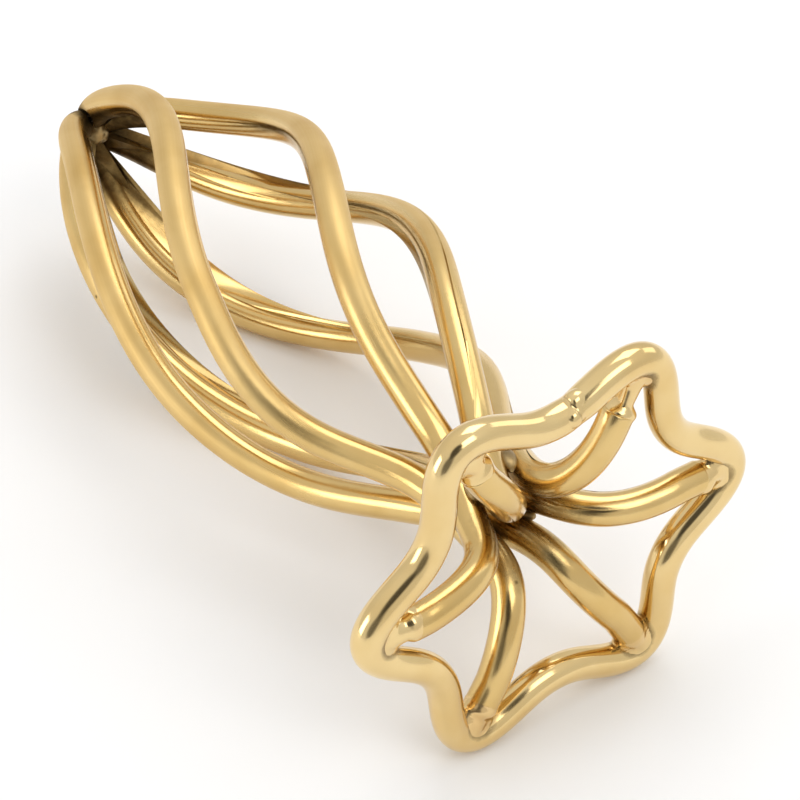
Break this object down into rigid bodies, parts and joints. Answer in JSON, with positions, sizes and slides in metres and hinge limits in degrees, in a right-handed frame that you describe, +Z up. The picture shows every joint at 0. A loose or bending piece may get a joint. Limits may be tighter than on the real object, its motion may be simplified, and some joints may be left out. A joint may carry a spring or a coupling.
{
  "type": "twisted wire ornament",
  "caption": "Rigid brass wirework ornament: a twisted round-wire basket with a closed tip, a narrow neck and a star-shaped ring at the open end.",
  "frame": {"origin": "bottom centre of the bounding box, on the surface that the object lies on", "axes": "+Z up, +X along the object's length from the closed tip to the star, +Y across it"},
  "size_m": [0.0796, 0.0408, 0.0365],
  "materials": {
    "rib_wire": "satin outside, polished inside",
    "ring_wire": "polished",
    "solder": "polished"
  },
  "bodies": {
    "root": {"rib_1": "rib_wire", "rib_2": "rib_wire", "rib_3": "rib_wire", "rib_4": "rib_wire", "rib_5": "rib_wire", "rib_6": "rib_wire", "star_ring": "ring_wire", "ring_seam_solder": "solder", "tip_solder": "solder", "star_solder_1": "solder", "star_solder_2": "solder", "star_solder_3": "solder", "star_solder_4": "solder", "star_solder_5": "solder", "star_solder_6": "solder", "neck_solder_1": "solder", "neck_solder_2": "solder", "neck_solder_3": "solder", "neck_solder_4": "solder", "neck_solder_5": "solder", "neck_solder_6": "solder"}
  },
  "joints": []
}
